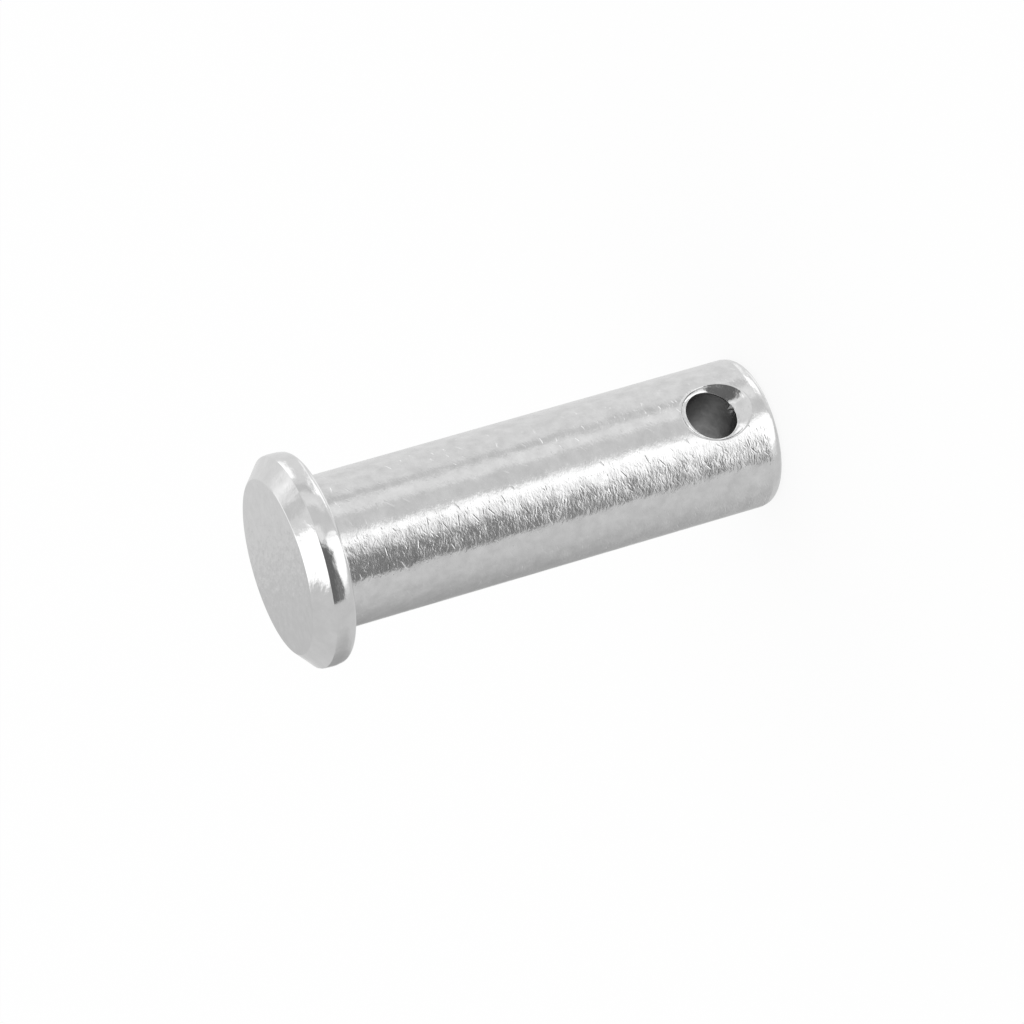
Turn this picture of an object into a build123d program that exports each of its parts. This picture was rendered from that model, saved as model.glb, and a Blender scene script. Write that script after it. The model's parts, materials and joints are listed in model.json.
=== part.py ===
"""Clevis pin: a cold-headed shank with a cross hole for a split pin.

The pin stands on its plain end. The origin is the centre of the end face, +Z runs
along the pin to its head, and the cross hole runs along Y. Sizes are in millimetres.
"""

import os

from build123d import *

# Shank
SHANK_DIAMETER = 7.85
SHANK_LENGTH = 24.3  # from the end face to the underside of the head

# Plain end: a short lead-in taper that rolls over into the end face
TAPER_LENGTH = 0.64
TAPER_DEPTH = 0.14
END_ROUND = 0.62

# Head: a flat face, a broad bevel with crisp edges, and a rim rounded under
HEAD_DIAMETER = 11.05  # at the rim's widest circle
HEAD_HEIGHT = 2.04
BEVEL_HEIGHT = 0.82
BEVEL_WIDTH = 0.93
RIM_DRAW_IN = 0.02  # how far the rim leans in from its widest circle to the bevel
RIM_ROUND = 0.45  # the rim's lower edge
CREST_ROUND = 0.06  # between the rim and the bevel
FACE_ROUND = 0.12  # between the bevel and the flat face
UNDERHEAD_FILLET = 0.25

# Cross hole for the split pin, countersunk at both mouths
HOLE_DIAMETER = 2.71
HOLE_TO_END = 3.15  # from the hole's axis to the end face
COUNTERSINK_WIDTH = 0.62  # how much wider than the hole its mouth is, all round
COUNTERSINK_ANGLE = 90

QUARTER_TURN = 90
OUTWARD = (1, 0)

shank_radius = SHANK_DIAMETER / 2
head_radius = HEAD_DIAMETER / 2
hole_radius = HOLE_DIAMETER / 2
pin_height = SHANK_LENGTH + HEAD_HEIGHT
crest_radius = head_radius - RIM_DRAW_IN
crest_height = pin_height - BEVEL_HEIGHT
face_radius = crest_radius - BEVEL_WIDTH

with BuildPart() as clevis_pin:
    # Half of the section through the axis, turned once about it
    with BuildSketch(Plane.XZ) as half_section:
        with BuildLine():
            end_face = Line((0, 0), (shank_radius - TAPER_DEPTH, 0))
            taper = Line(end_face @ 1, (shank_radius, TAPER_LENGTH))
            wall = Line(taper @ 1, (shank_radius, SHANK_LENGTH))
            underside = Line(wall @ 1, (head_radius - RIM_ROUND, SHANK_LENGTH))
            lower_edge = JernArc(underside @ 1, OUTWARD, RIM_ROUND, QUARTER_TURN)
            rim = TangentArc(lower_edge @ 1, (crest_radius, crest_height), tangent=lower_edge % 1)
            bevel = Line(rim @ 1, (face_radius, pin_height))
            head_face = Line(bevel @ 1, (0, pin_height))
            Line(head_face @ 1, end_face @ 0)
        make_face()
        for corner, radius in (
            (end_face @ 1, END_ROUND),
            (wall @ 1, UNDERHEAD_FILLET),
            (rim @ 1, CREST_ROUND),
            (bevel @ 1, FACE_ROUND),
        ):
            fillet(half_section.vertices().sort_by_distance(corner)[0], radius=radius)
    revolve(axis=Axis.Z)

    # Each mouth is cut from its own side, square to the shank, and both share one bore
    for side in (-1, 1):
        with Locations(Plane((0, side * shank_radius, HOLE_TO_END), z_dir=(0, side, 0))):
            CounterSinkHole(
                radius=hole_radius,
                counter_sink_radius=hole_radius + COUNTERSINK_WIDTH,
                depth=SHANK_DIAMETER,
                counter_sink_angle=COUNTERSINK_ANGLE,
            )

clevis_pin.part.label = "clevis_pin"

os.makedirs("parts", exist_ok=True)
export_step(clevis_pin.part, "parts/clevis_pin.step")

print("volume", round(clevis_pin.part.volume, 2), "faces", len(clevis_pin.faces()))
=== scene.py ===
"""Finishes the clevis pin: its true surface, its zinc plate, and the studio round it.

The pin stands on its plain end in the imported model's frame, in metres, with +Z running
along its axis to the head and the cross hole along Y. One Geometry Nodes tree turns the
half section about the axis, opens the two countersunk mouths of the cross hole and gives
the head the unevenness of cold heading.
"""

from __future__ import annotations

import json
import logging
import math
from dataclasses import dataclass, field
from enum import Enum

import bpy
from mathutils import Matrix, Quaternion, Vector


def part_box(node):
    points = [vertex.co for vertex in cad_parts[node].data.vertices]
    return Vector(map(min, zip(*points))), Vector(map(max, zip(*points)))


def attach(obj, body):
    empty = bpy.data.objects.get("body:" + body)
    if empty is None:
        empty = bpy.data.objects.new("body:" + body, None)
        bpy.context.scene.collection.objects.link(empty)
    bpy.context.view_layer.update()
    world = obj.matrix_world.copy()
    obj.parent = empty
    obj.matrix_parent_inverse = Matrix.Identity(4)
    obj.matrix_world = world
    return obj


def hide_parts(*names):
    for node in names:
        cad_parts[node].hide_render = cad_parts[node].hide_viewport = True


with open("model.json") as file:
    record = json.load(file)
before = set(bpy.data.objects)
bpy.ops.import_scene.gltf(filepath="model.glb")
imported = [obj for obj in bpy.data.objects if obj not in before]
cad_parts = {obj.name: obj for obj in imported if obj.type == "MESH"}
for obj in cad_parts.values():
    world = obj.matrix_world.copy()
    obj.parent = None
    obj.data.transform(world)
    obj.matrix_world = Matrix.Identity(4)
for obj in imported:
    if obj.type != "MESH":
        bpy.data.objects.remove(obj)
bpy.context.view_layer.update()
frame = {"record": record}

LOG = logging.getLogger("clevis_pin")
MM = 0.001


# ---------------------------------------------------------------- node trees


class Field:
    """A number or a vector that a node tree works out, written with plain arithmetic."""

    def __init__(self, graph: Graph, socket: bpy.types.NodeSocket) -> None:
        """Keeps the tree's graph and the socket that gives the value."""
        self.graph = graph
        self.socket = socket

    def __add__(self, other: Value) -> Field:
        """The sum."""
        return self.graph.math("ADD", self, other)

    def __radd__(self, other: Value) -> Field:
        """The sum, with the number first."""
        return self.graph.math("ADD", other, self)

    def __sub__(self, other: Value) -> Field:
        """The difference."""
        return self.graph.math("SUBTRACT", self, other)

    def __rsub__(self, other: Value) -> Field:
        """The difference, with the number first."""
        return self.graph.math("SUBTRACT", other, self)

    def __mul__(self, other: Value) -> Field:
        """The product."""
        return self.graph.math("MULTIPLY", self, other)

    def __rmul__(self, other: Value) -> Field:
        """The product, with the number first."""
        return self.graph.math("MULTIPLY", other, self)

    def __truediv__(self, other: Value) -> Field:
        """The quotient."""
        return self.graph.math("DIVIDE", self, other)

    def __rtruediv__(self, other: Value) -> Field:
        """The quotient, with the number first."""
        return self.graph.math("DIVIDE", other, self)

    def __neg__(self) -> Field:
        """The value with its sign changed."""
        return self.graph.math("MULTIPLY", self, -1.0)

    def __lt__(self, other: Value) -> Field:
        """1 where the value is less than the other, else 0."""
        return self.graph.math("LESS_THAN", self, other)

    def __gt__(self, other: Value) -> Field:
        """1 where the value is more than the other, else 0."""
        return self.graph.math("GREATER_THAN", self, other)


Value = float | int | Field


class Graph:
    """A node tree and short ways to add nodes to it."""

    def __init__(self, tree: bpy.types.NodeTree) -> None:
        """Keeps the tree."""
        self.tree = tree

    def node(self, kind: str, inputs: dict[str | int, object] | None = None, **settings: object) -> bpy.types.Node:
        """Adds a node.

        Args:
            kind: the node's type name in Blender.
            inputs: socket name or number to a Field, a socket or a plain value.
            settings: the node's own properties.

        Returns:
            The new node.
        """
        made = self.tree.nodes.new(kind)
        for name, value in settings.items():
            setattr(made, name, value)
        for key, value in (inputs or {}).items():
            self.feed(made.inputs[key], value)
        return made

    def feed(self, socket: bpy.types.NodeSocket, value: object) -> None:
        """Links a Field or a socket to a socket, or sets the socket's own value."""
        if isinstance(value, Field):
            value = value.socket
        if isinstance(value, bpy.types.NodeSocket):
            self.tree.links.new(value, socket)
        else:
            socket.default_value = value

    def field(self, kind: str, output: str | int = 0, inputs: dict | None = None, **settings: object) -> Field:
        """Adds a node and returns one of its outputs as a Field."""
        return Field(self, self.node(kind, inputs, **settings).outputs[output])

    def math(self, operation: str, *values: Value) -> Field:
        """Adds a Math node over up to three values."""
        return self.field("ShaderNodeMath", inputs=dict(enumerate(values)), operation=operation)

    def clamp(self, value: Value, low: Value = 0.0, high: Value = 1.0) -> Field:
        """The value, held between low and high."""
        return self.math("MINIMUM", self.math("MAXIMUM", value, low), high)

    def ramp(self, value: Value, start: Value, end: Value) -> Field:
        """0 at start rising smoothly to 1 at end; start may be the larger one."""
        inputs = {"Value": value, "From Min": start, "From Max": end}
        return self.field("ShaderNodeMapRange", inputs=inputs, interpolation_type="SMOOTHSTEP")

    def vector(self, x: Value, y: Value, z: Value) -> Field:
        """A vector from its three parts."""
        return self.field("ShaderNodeCombineXYZ", inputs={"X": x, "Y": y, "Z": z})

    def parts(self, vector: Field) -> tuple[Field, Field, Field]:
        """The three parts of a vector."""
        split = self.node("ShaderNodeSeparateXYZ", {"Vector": vector})
        return tuple(Field(self, output) for output in split.outputs)

    def noise(self, place: Field, scale: Value, detail: float = 2.0, seed: Value = 0.0, **more: float) -> Field:
        """Noise from 0 to 1 in three dimensions, with a fixed seed as its fourth."""
        inputs = {"Vector": place, "W": seed, "Scale": scale, "Detail": detail}
        for name, value in more.items():
            inputs[name.capitalize()] = value
        return self.field("ShaderNodeTexNoise", "Fac", inputs, noise_dimensions="4D")


def new_group(name: str, kind: str, inputs: dict[str, object], outputs: dict[str, str]) -> tuple[Graph, dict[str, Field]]:
    """Makes a node group with named inputs and outputs.

    Args:
        name: the group's name.
        kind: the tree's type name in Blender.
        inputs: socket name to its default value, or to a socket type where it has none.
        outputs: socket name to its socket type.

    Returns:
        The group's graph, and its inputs as Fields by name.
    """
    tree = bpy.data.node_groups.new(name, kind)
    types = {int: "NodeSocketInt", float: "NodeSocketFloat", tuple: "NodeSocketVector"}
    for label, value in inputs.items():
        socket_type = value if isinstance(value, str) else types[type(value)]
        socket = tree.interface.new_socket(label, in_out="INPUT", socket_type=socket_type)
        if not isinstance(value, str):
            socket.default_value = value
    for label, socket_type in outputs.items():
        tree.interface.new_socket(label, in_out="OUTPUT", socket_type=socket_type)
    graph = Graph(tree)
    entry = graph.node("NodeGroupInput")
    return graph, {label: Field(graph, entry.outputs[label]) for label in inputs}


# ---------------------------------------------------------------- the pin's form


@dataclass(frozen=True)
class Corner:
    """A corner of the half section, and how the run from it to the next is divided."""

    radius: float
    height: float
    rounding: float = 0.0
    arc_rows: int = 1
    rows: int = 1


@dataclass
class PinForm:
    """The pin's sizes in metres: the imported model's own, and the details it agrees on."""

    shank_radius: float
    hole_radius: float
    hole_height: float
    shank_length: float
    head_radius: float
    pin_height: float
    taper_length: float = 0.64 * MM
    taper_depth: float = 0.14 * MM
    taper_round: float = 0.50 * MM
    end_round: float = 0.60 * MM
    underhead_fillet: float = 0.25 * MM
    rim_round: float = 0.45 * MM
    rim_draw_in: float = 0.04 * MM
    rim_ease: float = 0.03 * MM
    rim_fullest: float = 0.4
    bevel_width: float = 0.93 * MM
    bevel_height: float = 0.82 * MM
    crest_round: float = 0.07 * MM
    face_round: float = 0.12 * MM
    countersink_width: float = 0.55 * MM
    window_half_height: float = 2.30 * MM
    window_half_angle: float = math.radians(30.0)
    window_cells: int = 32
    turn_cells: int = 192

    @classmethod
    def from_frame(cls) -> PinForm:
        """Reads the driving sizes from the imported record's mounts and the model's box."""
        mounts = {mount["name"]: mount for mount in frame["record"]["mounts"]}
        low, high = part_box("clevis_pin")
        return cls(
            shank_radius=mounts["shank"]["dims"]["r_mm"] * MM,
            hole_radius=mounts["split_pin_hole"]["dims"]["r_mm"] * MM,
            hole_height=mounts["split_pin_hole"]["pos_m"][2],
            shank_length=mounts["head_seat"]["pos_m"][2],
            head_radius=(high.x - low.x) / 2,
            pin_height=high.z,
        )

    @property
    def crest_radius(self) -> float:
        """Radius of the edge between the rim and the bevel."""
        return self.head_radius - self.rim_draw_in

    @property
    def crest_height(self) -> float:
        """Height of the edge between the rim and the bevel."""
        return self.pin_height - self.bevel_height

    def section(self) -> list[tuple[float, float]]:
        """The half section as (radius, height) points, from the end face's centre to the head's."""
        rim_start = self.shank_length + self.rim_round
        rim_height = self.crest_height - rim_start
        rim = []
        for step in range(RIM_ROWS):
            rise = step / RIM_ROWS
            side = (rise - self.rim_fullest) / (1 - self.rim_fullest if rise > self.rim_fullest else -self.rim_fullest)
            sink = (self.rim_draw_in if rise > self.rim_fullest else self.rim_ease) * side**2
            rim.append(Corner(self.head_radius - sink, rim_start + rim_height * rise))
        slope = 2 * self.rim_ease / (self.rim_fullest * rim_height)
        rear_radius = self.head_radius - self.rim_ease - slope * self.rim_round
        corners = [
            Corner(0, 0, rows=10),
            Corner(self.shank_radius - self.taper_depth, 0, self.end_round, arc_rows=9, rows=3),
            Corner(self.shank_radius, self.taper_length, self.taper_round, arc_rows=3),
            Corner(self.shank_radius, self.hole_height - self.window_half_height, rows=self.window_cells),
            Corner(self.shank_radius, self.hole_height + self.window_half_height, rows=90),
            Corner(self.shank_radius, self.shank_length, self.underhead_fillet, arc_rows=7, rows=4),
            Corner(rear_radius, self.shank_length, self.rim_round, arc_rows=12),
            *rim,
            Corner(self.crest_radius, self.crest_height, self.crest_round, arc_rows=5, rows=12),
            Corner(self.crest_radius - self.bevel_width, self.pin_height, self.face_round, arc_rows=6, rows=14),
            Corner(0, self.pin_height),
        ]
        return rounded_outline(corners)


RIM_ROWS = 12


def rounded_outline(corners: list[Corner]) -> list[tuple[float, float]]:
    """Walks round the corners, with an arc at each rounded one and each run in its rows.

    Args:
        corners: the outline's corners in order.

    Returns:
        The outline's points.
    """
    spots = [Vector((corner.radius, corner.height)) for corner in corners]
    ends: list[list[Vector]] = []
    for number, corner in enumerate(corners):
        spot = spots[number]
        if not corner.rounding:
            ends.append([spot])
            continue
        back = (spots[number - 1] - spot).normalized()
        ahead = (spots[number + 1] - spot).normalized()
        half_angle = back.angle(ahead) / 2
        reach = corner.rounding / math.tan(half_angle)
        centre = spot + (back + ahead).normalized() * (corner.rounding / math.sin(half_angle))
        start = (spot + back * reach - centre).normalized()
        end = (spot + ahead * reach - centre).normalized()
        turns = [start.slerp(end, step / corner.arc_rows) for step in range(corner.arc_rows + 1)]
        ends.append([centre + turn * corner.rounding for turn in turns])
    outline: list[Vector] = []
    for number, arc in enumerate(ends):
        outline += arc
        if number + 1 < len(ends):
            rows = corners[number].rows
            outline += [arc[-1].lerp(ends[number + 1][0], step / rows) for step in range(1, rows)]
    tidy = [outline[0]]
    for spot in outline[1:]:
        if (spot - tidy[-1]).length > 0.002 * MM:
            tidy.append(spot)
    return [tuple(spot) for spot in tidy]


class PinBuilder:
    """Builds the pin's mesh with one Geometry Nodes tree."""

    EDGE_HALF = 0.10 * MM
    EDGE_SOFTNESS = 0.09 * MM
    THROAT_HALF = 0.10 * MM
    THROAT_SOFTNESS = 0.08 * MM
    LEAN_ANGLE = math.radians(125.0)
    BURR_ANGLE = math.radians(-80.0)
    BURR_TOOTH = 0.28 * MM
    SHIFT_ANGLE = math.radians(-75.0)
    CHATTER = 0.055 * MM
    RAGGED_LIP = 0.05 * MM
    NARROWEST_CONE = 0.04 * MM
    MERGE = 0.0006 * MM

    def __init__(self, form: PinForm, finishes: dict[str, bpy.types.Material]) -> None:
        """Keeps the sizes and the material of each region."""
        self.form = form
        self.finishes = finishes

    def section_mesh(self) -> bpy.types.Object:
        """The half section as an edge chain, the tree's starting geometry."""
        points = self.form.section()
        mesh = bpy.data.meshes.new("half_section")
        edges = [(number, number + 1) for number in range(len(points) - 1)]
        mesh.from_pydata([(radius, 0.0, height) for radius, height in points], edges, [])
        holder = bpy.data.objects.new("half_section", mesh)
        bpy.context.scene.collection.objects.link(holder)
        return holder

    def turned_body(self, graph: Graph, sizes: dict[str, Field]) -> Field:
        """Turns the section about the axis and leaves a window round each mouth.

        Args:
            graph: the tree.
            sizes: the tree's inputs.

        Returns:
            The body's geometry.
        """
        rows = graph.field(
            "GeometryNodeAttributeDomainSize", "Point Count", {"Geometry": sizes["Geometry"]}, component="MESH"
        )
        grid = graph.field(
            "GeometryNodeMeshGrid", "Mesh", {"Vertices X": sizes["Turn Cells"] + 1, "Vertices Y": rows}
        )
        index = graph.field("GeometryNodeInputIndex")
        column = graph.math("FLOOR", (index + 0.5) / rows)
        row = index - column * rows
        spot = graph.field(
            "GeometryNodeSampleIndex",
            inputs={
                "Geometry": sizes["Geometry"],
                "Value": graph.field("GeometryNodeInputPosition"),
                "Index": row,
            },
            data_type="FLOAT_VECTOR",
        )
        radius, _, height = graph.parts(spot)
        turn = column / sizes["Turn Cells"] * math.tau
        place = graph.vector(radius * graph.math("COSINE", turn), radius * graph.math("SINE", turn), height)
        turned = graph.field("GeometryNodeSetPosition", inputs={"Geometry": grid, "Position": place})
        x, y, z = graph.parts(graph.field("GeometryNodeInputPosition"))
        away = graph.math("ARCTAN2", graph.math("ABSOLUTE", x), graph.math("ABSOLUTE", y))
        level = graph.math("ABSOLUTE", z - sizes["Hole Height"])
        window = (away < sizes["Window Half Angle"]) * (level < sizes["Window Half Height"])
        return graph.field(
            "GeometryNodeDeleteGeometry", inputs={"Geometry": turned, "Selection": window}, domain="FACE"
        )

    def mouth(self, graph: Graph, sizes: dict[str, Field]) -> Field:
        """One countersunk mouth, from the window's edge down to the middle of the bore.

        Rings run from the square window to the round rim, over its softened edge, down the
        cone and along the bore to the pin's axis.

        Args:
            graph: the tree.
            sizes: the tree's inputs.

        Returns:
            The mouth on the -Y side.
        """
        shank, bore = sizes["Shank Radius"], sizes["Hole Radius"]
        approach_rings, edge_rings, cone_rings, throat_rings, bore_rings = 9, 12, 9, 8, 10
        ring_count = approach_rings + edge_rings + cone_rings + throat_rings + bore_rings + 1
        grid = graph.field(
            "GeometryNodeMeshGrid",
            "Mesh",
            {"Vertices X": sizes["Window Cells"] * 4 + 1, "Vertices Y": ring_count},
        )
        index = graph.field("GeometryNodeInputIndex")
        column = graph.math("FLOOR", (index + 0.5) / ring_count)
        ring = index - column * ring_count
        quarter = column / sizes["Window Cells"]

        def square_side(shift: float) -> Field:
            """One coordinate of a walk round the square from -1 to 1."""
            swing = graph.math("WRAP", quarter + shift, 4.0, 0.0) - 2
            return graph.clamp(graph.math("ABSOLUTE", swing) * 2 - 2, -1.0, 1.0)

        angle = quarter * (math.pi / 2)
        cosine, sine = graph.math("COSINE", angle), graph.math("SINE", angle)
        border_x = shank * graph.math("SINE", sizes["Window Half Angle"] * square_side(0.0))
        border_z = sizes["Window Half Height"] * square_side(-1.0)

        # Where a square-set cone meets the round shank, as a distance from the hole's axis
        spread = cosine * cosine + 1
        lead = bore - (shank - sizes["Countersink Width"])
        root = graph.math("SQRT", lead * lead - spread * (lead * lead - shank * shank))
        rim = (lead + root) / spread

        # The cutter wandered toward the plain end, and leaned: the other wall is less steep
        rim = rim + sizes["Cutter Wander"] * graph.math("COSINE", angle - self.SHIFT_ANGLE)
        rim_x = rim * cosine
        rim_depth = graph.math("SQRT", shank * shank - rim_x * rim_x)
        shallow = (graph.math("COSINE", angle - self.LEAN_ANGLE) + 1) / 2
        grade = 1 - sizes["Cutter Lean"] * shallow
        cone_foot = rim_depth - (rim - bore) * grade
        stretch = graph.math("SQRT", grade * grade + 1)
        slope, fall = 1 / stretch, grade / stretch
        rim_path = (rim - bore) / slope

        # Path length down the wall: 0 at the foot of the cone, negative in the bore.
        # At its narrow sides the cone keeps a least length, so that its rings never meet.
        cone_length = graph.math(
            "MAXIMUM", rim_path - self.EDGE_HALF - self.THROAT_HALF, self.NARROWEST_CONE
        )
        zones = (
            (edge_rings, 2 * self.EDGE_HALF),
            (cone_rings, cone_length),
            (throat_rings, 2 * self.THROAT_HALF),
            (bore_rings, cone_foot + rim_path - self.EDGE_HALF - cone_length - 2 * self.THROAT_HALF),
        )
        path = rim_path + self.EDGE_HALF
        first = approach_rings
        for count, length in zones:
            path = path - length * graph.clamp((ring - first) / count)
            first += count
        open_path = graph.math("SMOOTH_MAX", path, 0.0, self.THROAT_SOFTNESS)
        reach = bore + open_path * slope - self.burr(graph, angle, path)
        arrive = graph.clamp(ring / approach_rings)
        x = border_x + (reach * cosine - border_x) * arrive
        rise = border_z + (reach * sine - border_z) * arrive
        spread_reach = graph.math("SQRT", x * x + rise * rise)
        beyond = (spread_reach - reach) * grade
        around = graph.vector(cosine, sine, 0.0)
        wall = graph.ramp(path, 0.0, rim_path * 0.4) * graph.ramp(path, rim_path, rim_path * 0.6)
        chatter = graph.noise(around, 4.5, detail=2.0, seed=6.0) * wall * self.CHATTER
        cone_depth = cone_foot + path - open_path * (1 - fall) + beyond - chatter
        shank_depth = graph.math("SQRT", shank * shank - x * x)
        depth = graph.math("SMOOTH_MIN", shank_depth, cone_depth, self.EDGE_SOFTNESS)
        place = graph.vector(x, -depth, sizes["Hole Height"] + rise)
        return graph.field("GeometryNodeSetPosition", inputs={"Geometry": grid, "Position": place})

    def burr(self, graph: Graph, angle: Field, path: Field) -> Field:
        """How far the ragged lip between cone and bore stands in over the bore."""
        around = graph.vector(graph.math("COSINE", angle), graph.math("SINE", angle), 0.0)
        ragged = graph.clamp(graph.noise(around, 9.0, detail=3.0, seed=4.0) * 3.0 - 1.2)
        away = graph.math("ABSOLUTE", graph.math("WRAP", angle - self.BURR_ANGLE, math.pi, -math.pi))
        stretch = graph.ramp(away, 0.75, 0.15)
        tooth = graph.ramp(away, 0.13, 0.02)
        lip = graph.ramp(graph.math("ABSOLUTE", path + self.THROAT_HALF * 0.5), self.THROAT_HALF * 2.2, 0.0)
        return lip * (ragged * stretch * self.RAGGED_LIP + tooth * self.BURR_TOOTH)

    def both_mouths(self, graph: Graph, mouth: Field) -> Field:
        """The mouth and its copy on the other side of the pin, as real geometry."""
        sides = graph.field("GeometryNodeMeshLine", inputs={"Count": 2, "Offset": (0.0, 0.0, 0.0)})
        turn = graph.vector(0.0, 0.0, graph.field("GeometryNodeInputIndex") * math.pi)
        placed = graph.field(
            "GeometryNodeInstanceOnPoints", inputs={"Points": sides, "Instance": mouth, "Rotation": turn}
        )
        return graph.field("GeometryNodeRealizeInstances", inputs={"Geometry": placed})

    def uneven_head(self, graph: Graph, sizes: dict[str, Field], pin: Field) -> Field:
        """Sinks the head's bevel, crest and rim a little, unevenly, as cold heading leaves them."""
        position = graph.field("GeometryNodeInputPosition")
        x, y, z = graph.parts(position)
        radius = graph.math("SQRT", x * x + y * y)
        bevel_inner = self.form.crest_radius - self.form.bevel_width
        outer = graph.ramp(radius, bevel_inner - 0.25 * MM, bevel_inner + 0.65 * MM)
        upper = graph.ramp(z, self.form.shank_length + 0.1 * MM, self.form.shank_length + 0.6 * MM)
        place = graph.field("ShaderNodeVectorMath", inputs={0: position, "Scale": 1 / MM}, operation="SCALE")
        broad = graph.noise(place, 0.55, detail=1.0, seed=7.0)
        fine = graph.noise(place, 1.7, detail=3.0, seed=2.0)
        sunk = graph.clamp(broad * 1.1 + fine * 0.9 - 0.7)
        depth = sizes["Head Unevenness"] * outer * upper * sunk
        normal = graph.field("GeometryNodeInputNormal")
        sink = graph.field("ShaderNodeVectorMath", inputs={0: normal, "Scale": -depth}, operation="SCALE")
        return graph.field("GeometryNodeSetPosition", inputs={"Geometry": pin, "Offset": sink})

    def tree(self) -> bpy.types.NodeTree:
        """Builds the whole tree and returns it."""
        inputs = {
            "Geometry": "NodeSocketGeometry",
            "Turn Cells": 1,
            "Window Cells": 1,
            "Shank Radius": 0.0,
            "Hole Radius": 0.0,
            "Hole Height": 0.0,
            "Countersink Width": 0.0,
            "Window Half Angle": 0.0,
            "Window Half Height": 0.0,
            "Cutter Lean": 0.0,
            "Cutter Wander": 0.0,
            "Head Unevenness": 0.0,
        }
        graph, sizes = new_group("turned_pin", "GeometryNodeTree", inputs, {"Geometry": "NodeSocketGeometry"})
        body = self.turned_body(graph, sizes)
        mouths = self.both_mouths(graph, self.mouth(graph, sizes))
        joined = graph.node("GeometryNodeJoinGeometry")
        for part in (mouths, body):
            graph.feed(joined.inputs[0], part)
        closed = graph.field(
            "GeometryNodeMergeByDistance", inputs={"Geometry": joined.outputs[0], "Distance": self.MERGE}
        )
        worn = self.uneven_head(graph, sizes, closed)
        smooth = graph.field("GeometryNodeSetShadeSmooth", inputs={"Geometry": worn, "Shade Smooth": True})
        x, y, z = graph.parts(graph.field("GeometryNodeInputPosition"))
        off_axis = graph.math("SQRT", x * x + (z - sizes["Hole Height"]) * (z - sizes["Hole Height"]))
        in_shank = graph.math("SQRT", x * x + y * y) < sizes["Shank Radius"] - 0.02 * MM
        regions = {
            "shank": None,
            "head": z > self.form.shank_length - self.form.underhead_fillet,
            # the bore region takes the bore finish, whose dark tone is painted shade in the hole
            "bore": (off_axis < sizes["Hole Radius"] + 0.01 * MM) * in_shank,
        }
        dressed = smooth
        for name, selection in regions.items():
            inputs = {"Geometry": dressed, "Material": self.finishes[name]}
            if selection is not None:
                inputs["Selection"] = selection
            dressed = graph.field("GeometryNodeSetMaterial", inputs=inputs)
        graph.node("NodeGroupOutput", {"Geometry": dressed})
        return graph.tree

    def build(self) -> bpy.types.Object:
        """Runs the tree and returns the pin as a plain mesh object."""
        form = self.form
        holder = self.section_mesh()
        modifier = holder.modifiers.new("turned_pin", "NODES")
        modifier.node_group = self.tree()
        values = {
            "Turn Cells": form.turn_cells,
            "Window Cells": form.window_cells,
            "Shank Radius": form.shank_radius,
            "Hole Radius": form.hole_radius,
            "Hole Height": form.hole_height,
            "Countersink Width": form.countersink_width,
            "Window Half Angle": form.window_half_angle,
            "Window Half Height": form.window_half_height,
            "Cutter Lean": 0.55,
            "Cutter Wander": 0.17 * MM,
            "Head Unevenness": 0.055 * MM,
        }
        for item in modifier.node_group.interface.items_tree:
            if item.in_out == "INPUT" and item.name in values:
                modifier[item.identifier] = values[item.name]
        evaluated = holder.evaluated_get(bpy.context.evaluated_depsgraph_get())
        mesh = bpy.data.meshes.new_from_object(evaluated)
        mesh.name = "pin"
        # the grid's own first slot is empty
        mesh.materials.pop(index=0)
        piece = bpy.data.objects.new("pin", mesh)
        bpy.context.scene.collection.objects.link(piece)
        bpy.data.objects.remove(holder)
        return piece


# ---------------------------------------------------------------- finishes


class Effect(Enum):
    """The surface effects that the finishes share, each a shader node group."""

    GRAIN = "tumbled_grain"
    SCRATCHES = "short_scratches"
    SWELL = "plate_swell"


def grain_group() -> bpy.types.NodeTree:
    """Fine tumbled grain, drawn out round the axis, as a height from 0 to 1."""
    inputs = {"Place": (0.0, 0.0, 0.0), "Length": 0.4, "Width": 0.1, "Swerve": 0.3, "Seed": 0.0}
    graph, given = new_group(Effect.GRAIN.value, "ShaderNodeTree", inputs, {"Height": "NodeSocketFloat"})
    x, y, z = graph.parts(given["Place"])
    bend = graph.noise(given["Place"], 1.6, detail=1.0, seed=3.1) - 0.5
    swerved = z + bend * given["Swerve"]
    stretched = graph.vector(x / given["Length"], y / given["Length"], swerved / given["Width"])
    height = graph.noise(stretched, 1.0, detail=2.0, seed=given["Seed"], roughness=0.6)
    graph.node("NodeGroupOutput", {"Height": height})
    return graph.tree


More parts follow.
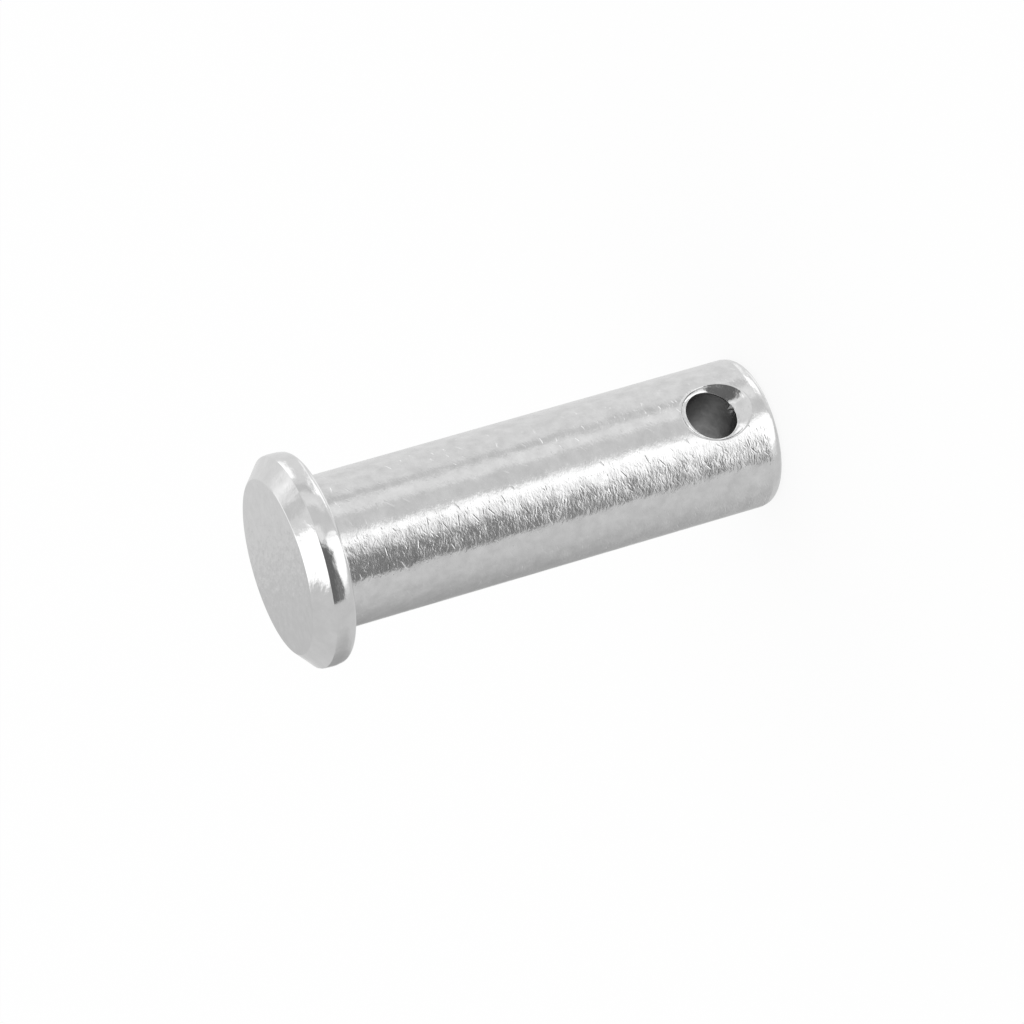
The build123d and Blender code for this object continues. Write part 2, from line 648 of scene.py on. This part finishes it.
def scratches_group() -> bpy.types.NodeTree:
    """Short straight scratches at all slants near the round direction, 1 in each and 0 between."""
    inputs = {
        "Place": (0.0, 0.0, 0.0),
        "Spacing": 0.5,
        "Length": 0.4,
        "Width": 0.06,
        "Lean": 0.0,
        "Spread": 1.0,
        "Share": 0.5,
        "Seed": 0.0,
    }
    graph, given = new_group(Effect.SCRATCHES.value, "ShaderNodeTree", inputs, {"Mask": "NodeSocketFloat"})
    place, spacing = given["Place"], given["Spacing"]
    x, y, z = graph.parts(place)
    shifted = graph.vector(x / spacing + given["Seed"], y / spacing, z / spacing)
    cells = graph.node("ShaderNodeTexVoronoi", {"Vector": shifted, "Scale": 1.0}, feature="F1")
    offset = graph.field(
        "ShaderNodeVectorMath", inputs={0: shifted, 1: cells.outputs["Position"]}, operation="SUBTRACT"
    )
    off_x, off_y, off_z = graph.parts(offset)
    chance = graph.node("ShaderNodeSeparateColor", {"Color": cells.outputs["Color"]})
    slant_chance, length_chance, share_chance = (Field(graph, output) for output in chance.outputs)
    radius = graph.math("SQRT", x * x + y * y)
    along = (off_y * x - off_x * y) / radius * spacing
    rise = off_z * spacing
    slant = given["Lean"] + (slant_chance - 0.5) * given["Spread"]
    cosine, sine = graph.math("COSINE", slant), graph.math("SINE", slant)
    lengthwise = graph.math("ABSOLUTE", along * cosine + rise * sine)
    across = graph.math("ABSOLUTE", rise * cosine - along * sine)
    half_length = given["Length"] * (length_chance * 0.7 + 0.3) / 2
    body = graph.ramp(across, given["Width"] / 2, 0.0) * graph.ramp(lengthwise, half_length, half_length * 0.4)
    graph.node("NodeGroupOutput", {"Mask": body * (share_chance < given["Share"])})
    return graph.tree


def swell_group() -> bpy.types.NodeTree:
    """The slow unevenness under the plate, as a height from 0 to 1."""
    inputs = {"Place": (0.0, 0.0, 0.0), "Size": 1.0, "Seed": 0.0}
    graph, given = new_group(Effect.SWELL.value, "ShaderNodeTree", inputs, {"Height": "NodeSocketFloat"})
    height = graph.noise(given["Place"], 1 / given["Size"], detail=2.0, seed=given["Seed"])
    graph.node("NodeGroupOutput", {"Height": height})
    return graph.tree


@dataclass(frozen=True)
class ScratchLayer:
    """One layer of short scratches. Lengths are in millimetres, angles in radians."""

    spacing: float
    length: float
    width: float
    depth: float
    lean: float = 0.25
    spread: float = 1.2
    share: float = 0.5
    seed: float = 0.0


@dataclass(frozen=True)
class ZincPlate:
    """Bright zinc plate over steel, as one region of the pin wears it. Lengths are in millimetres."""

    name: str
    tone: float = 0.79
    roughness: float = 0.14
    grain_depth: float = 0.009
    grain_length: float = 0.21
    grain_width: float = 0.105
    swell_depth: float = 0.035
    swell_size: float = 1.3
    cloud_size: float = 0.6
    cloud_contrast: float = 0.30
    scratches: tuple[ScratchLayer, ...] = ()

    def material(self, effects: dict[Effect, bpy.types.NodeTree]) -> bpy.types.Material:
        """Builds the material.

        Args:
            effects: the shared node groups.

        Returns:
            The finished material.
        """
        made = bpy.data.materials.new(self.name)
        made.use_nodes = True
        graph = Graph(made.node_tree)
        shader = made.node_tree.nodes["Principled BSDF"]
        shader.inputs["Metallic"].default_value = 1.0
        shader.inputs["Roughness"].default_value = self.roughness
        where = graph.field("ShaderNodeTexCoord", "Object")
        place = graph.field("ShaderNodeVectorMath", inputs={0: where, "Scale": 1 / MM}, operation="SCALE")

        def effect(kind: Effect, values: dict[str, Value]) -> Field:
            """Places one of the shared groups, fed with the place on the pin and its own values."""
            group = graph.node("ShaderNodeGroup", node_tree=effects[kind])
            for label, value in {"Place": place, **values}.items():
                graph.feed(group.inputs[label], value)
            return Field(graph, group.outputs[0])

        grain = effect(Effect.GRAIN, {"Length": self.grain_length, "Width": self.grain_width})
        swell = effect(Effect.SWELL, {"Size": self.swell_size})
        cloud = effect(Effect.SWELL, {"Size": self.cloud_size, "Seed": 3.0})
        tone = self.tone + (cloud + grain * 0.3 - 0.65) * self.cloud_contrast
        graph.feed(shader.inputs["Base Color"], graph.field("ShaderNodeCombineColor", inputs={0: tone, 1: tone, 2: tone}))
        height = grain * self.grain_depth * (swell + 0.5) + swell * self.swell_depth
        for layer in self.scratches:
            values = {
                "Spacing": layer.spacing,
                "Length": layer.length,
                "Width": layer.width,
                "Lean": layer.lean,
                "Spread": layer.spread,
                "Share": layer.share,
                "Seed": layer.seed,
            }
            height = height - effect(Effect.SCRATCHES, values) * layer.depth
        bump = graph.field("ShaderNodeBump", "Normal", {"Strength": 1.0, "Distance": MM, "Height": height})
        graph.feed(shader.inputs["Normal"], bump)
        return made


FINE_SCRATCHES = ScratchLayer(spacing=0.42, length=0.40, width=0.12, depth=0.0024, share=0.6)
BOLD_SCRATCHES = ScratchLayer(spacing=0.80, length=0.70, width=0.10, depth=0.006, spread=0.9, share=0.4, seed=5.0)

FINISHES = (
    ZincPlate("shank", scratches=(FINE_SCRATCHES, BOLD_SCRATCHES)),
    ZincPlate("head", roughness=0.12, grain_depth=0.0045, swell_depth=0.012, swell_size=0.6, cloud_contrast=0.16),
    # the bore's dark tone is painted shade inside the cross hole; its higher roughness is bare drilled steel
    ZincPlate("bore", tone=0.30, roughness=0.35, grain_depth=0.008),
)


# ---------------------------------------------------------------- studio


@dataclass(frozen=True)
class Panel:
    """A soft-edged patch of the light tent. Angles in degrees: bearing is from the camera, to its left."""

    bearing: tuple[float, float]
    elevation: tuple[float, float]
    brightness: float
    side_blur: float = 4.0
    edge_blur: float = 4.0
    lean: float = 0.0


@dataclass
class LightTent:
    """What the metal mirrors: a white tent with panels, seen by glossy rays alone."""

    walls: float = 0.80
    radius: float = 0.8
    panels: tuple[Panel, ...] = (
        # the far side, with its folds and its lit cards
        Panel((-57, -16.5), (-100, 10.5), 0.68, side_blur=5.5, lean=0.11),
        Panel((-67, -50.5), (-32, 4), 0.89, side_blur=9, edge_blur=8.5, lean=0.11),
        Panel((-81.5, -69.5), (-25, 30), 0.62, side_blur=8, edge_blur=8),
        Panel((-125, -61), (-63, -36), 0.85, side_blur=10.5, edge_blur=9, lean=-0.10),
        Panel((-140, -95), (-36, -29), 1.10, side_blur=20, edge_blur=4),
        Panel((-97, -68), (-60, -29), 1.40, side_blur=8, edge_blur=5),
        Panel((-165, -128), (-62, -44), 1.10, side_blur=10, edge_blur=6),
        Panel((-110, -88), (52, 64), 0.66, side_blur=6),
        Panel((-122, -97), (0, 51), 1.02, side_blur=15, edge_blur=12, lean=0.24),
        Panel((-124, -92), (-9, 16), 1.35, side_blur=8, edge_blur=6),
        Panel((-175, -118), (42, 66), 1.15, side_blur=8, edge_blur=8),
        # the lamp below the camera, then the camera's opening between two small cards
        Panel((-13, 44), (-100, -4.3), 1.37, side_blur=14, edge_blur=8, lean=-0.20),
        Panel((-16, 90), (-10, 66), 0.15, side_blur=8, edge_blur=6),
        Panel((-2, 90), (-16, 20), 0.15, side_blur=10, edge_blur=14),
        Panel((15, 90), (-22.4, -13), 0.19, side_blur=18, edge_blur=6),
        Panel((-29.7, -9), (-9, 5.8), 0.95, side_blur=10.5, edge_blur=8.3),
        Panel((-41.5, -23.8), (30.6, 64.5), 1.0, side_blur=8, edge_blur=8.6),
        # the table's side, with the pin's own shadow on it painted in as a darker band away from the camera
        Panel((52.5, 300), (-100, 100), 0.66, side_blur=4),
        # painted shadow: the pin's own shadow on the table, as the metal's lower edge mirrors it
        Panel((108, 300), (-24, -4), 0.39, side_blur=90, edge_blur=14),
        Panel((166, 300), (-73, 4.5), 0.75, side_blur=10, edge_blur=30),
        Panel((172, 300), (-2, 40), 0.60, side_blur=8),
        Panel((-300, -175), (-100, 100), 0.71, side_blur=6),
        # the lamp overhead
        Panel((-300, 300), (71.5, 100), 1.45, edge_blur=6),
    )

    def build(self, camera_bearing: float, middle: Vector) -> bpy.types.Object:
        """Makes the tent.

        Args:
            camera_bearing: direction of the camera round +Z, in degrees from +X.
            middle: the tent's centre.

        Returns:
            The tent.
        """
        bpy.ops.mesh.primitive_uv_sphere_add(segments=64, ring_count=32, radius=self.radius, location=middle)
        tent = bpy.context.object
        tent.name = "light_tent"
        paint = bpy.data.materials.new("light_tent")
        paint.use_nodes = True
        paint.cycles.emission_sampling = "NONE"
        paint.node_tree.nodes.clear()
        graph = Graph(paint.node_tree)
        where = graph.field("ShaderNodeTexCoord", "Object")
        x, y, z = graph.parts(where)
        bearing = graph.math("ARCTAN2", y, x) * (180 / math.pi) - camera_bearing
        bearing = graph.math("WRAP", bearing, 180.0, -180.0) * -1
        elevation = graph.math("ARCSINE", z / self.radius) * (180 / math.pi)
        glow: Value = self.walls
        for panel in self.panels:
            sideways = bearing + elevation * panel.lean
            mask = self.edge(graph, sideways, panel.bearing, panel.side_blur)
            mask = mask * self.edge(graph, elevation, panel.elevation, panel.edge_blur)
            glow = glow + (panel.brightness - glow) * mask
        light = graph.node("ShaderNodeEmission", {"Color": glow, "Strength": 1.0})
        graph.node("ShaderNodeOutputMaterial", {"Surface": light.outputs[0]})
        tent.data.materials.append(paint)
        tent.visible_camera = tent.visible_diffuse = tent.visible_shadow = False
        return tent

    @staticmethod
    def edge(graph: Graph, angle: Field, span: tuple[float, float], blur: float) -> Field:
        """1 inside the span, falling to 0 over the blur's width at each end."""
        low, high = span
        half = blur / 2
        mask: Value = 1.0
        if low > -180:
            mask = graph.ramp(angle, low - half, low + half) * mask
        if high < 180:
            mask = graph.ramp(angle, high + half, high - half) * mask
        return mask


@dataclass(frozen=True)
class Studio:
    """The pale floor and the even light on it."""

    floor_radius: float = 2.0
    floor_tone: float = 0.97
    backdrop_share: float = 0.85

    def build(self) -> None:
        """Makes the world and the floor."""
        world = bpy.data.worlds.new("studio")
        world.use_nodes = True
        bpy.context.scene.world = world
        world.node_tree.nodes["Background"].inputs["Color"].default_value = (1.0, 1.0, 1.0, 1.0)
        world.node_tree.nodes["Background"].inputs["Strength"].default_value = 1.0
        bpy.ops.mesh.primitive_circle_add(vertices=128, radius=self.floor_radius, fill_type="NGON")
        floor = bpy.context.object
        floor.name = "floor"
        paint = bpy.data.materials.new("floor")
        paint.use_nodes = True
        shader = paint.node_tree.nodes["Principled BSDF"]
        shader.inputs["Base Color"].default_value = (self.floor_tone,) * 3 + (1.0,)
        shader.inputs["Roughness"].default_value = 1.0
        shader.inputs["Specular IOR Level"].default_value = 0.0
        graph = Graph(paint.node_tree)
        path = graph.node("ShaderNodeLightPath")
        seen = Field(graph, path.outputs["Is Camera Ray"]) + path.outputs["Is Glossy Ray"]
        seen = seen + path.outputs["Is Transmission Ray"]
        white = graph.node("ShaderNodeEmission", {"Strength": 1.0})
        parts = {0: seen * self.backdrop_share, 1: shader.outputs[0], 2: white.outputs[0]}
        blend = graph.node("ShaderNodeMixShader", parts)
        graph.feed(paint.node_tree.nodes["Material Output"].inputs["Surface"], blend.outputs[0])
        floor.data.materials.append(paint)
        floor.visible_glossy = False


@dataclass(frozen=True)
class StudioCamera:
    """A long lens that looks down on the standing pin, rolled so that the pin lies across the view."""

    azimuth: float = math.radians(-111.46)
    elevation: float = math.radians(19.15)
    roll: float = math.radians(-106.17)
    distance: float = 228.45 * MM
    aim_right: float = -1.251 * MM
    aim_up: float = -1.003 * MM
    lens: float = 158.8
    sensor: float = 36.0

    def place(self, form: PinForm) -> bpy.types.Object:
        """Adds the camera and makes it the scene's own.

        Args:
            form: the pin's sizes; the camera looks at the middle of its shank.

        Returns:
            The camera.
        """
        level = math.cos(self.elevation)
        back = Vector(
            (level * math.cos(self.azimuth), level * math.sin(self.azimuth), math.sin(self.elevation))
        )
        turn = back.to_track_quat("Z", "Y") @ Quaternion((0.0, 0.0, 1.0), self.roll)
        right, up = turn @ Vector((1.0, 0.0, 0.0)), turn @ Vector((0.0, 1.0, 0.0))
        middle = Vector((0.0, 0.0, form.shank_length / 2))
        data = bpy.data.cameras.new("camera")
        data.lens, data.sensor_width = self.lens, self.sensor
        data.clip_start, data.clip_end = 0.01, 10.0
        camera = bpy.data.objects.new("camera", data)
        bpy.context.scene.collection.objects.link(camera)
        camera.location = middle + right * self.aim_right + up * self.aim_up + back * self.distance
        camera.rotation_mode = "QUATERNION"
        camera.rotation_quaternion = turn
        bpy.context.scene.camera = camera
        return camera


def main() -> None:
    """Builds the pin, dresses it, and sets up the studio."""
    logging.basicConfig(level=logging.INFO, format="%(name)s: %(message)s")
    form = PinForm.from_frame()
    effects = {
        Effect.GRAIN: grain_group(),
        Effect.SCRATCHES: scratches_group(),
        Effect.SWELL: swell_group(),
    }
    finishes = {finish.name: finish.material(effects) for finish in FINISHES}
    piece = PinBuilder(form, finishes).build()
    mesh = piece.data
    LOG.info("pin: %d faces, %d triangles", len(mesh.polygons), sum(len(p.vertices) - 2 for p in mesh.polygons))
    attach(piece, "root")
    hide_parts("clevis_pin")
    camera = StudioCamera().place(form)
    bearing = math.degrees(math.atan2(camera.location.y, camera.location.x))
    LightTent().build(bearing, Vector((0.0, 0.0, form.pin_height / 2)))
    Studio().build()
    bpy.context.scene.view_settings.view_transform = "Standard"


if __name__ == "__main__":
    main()
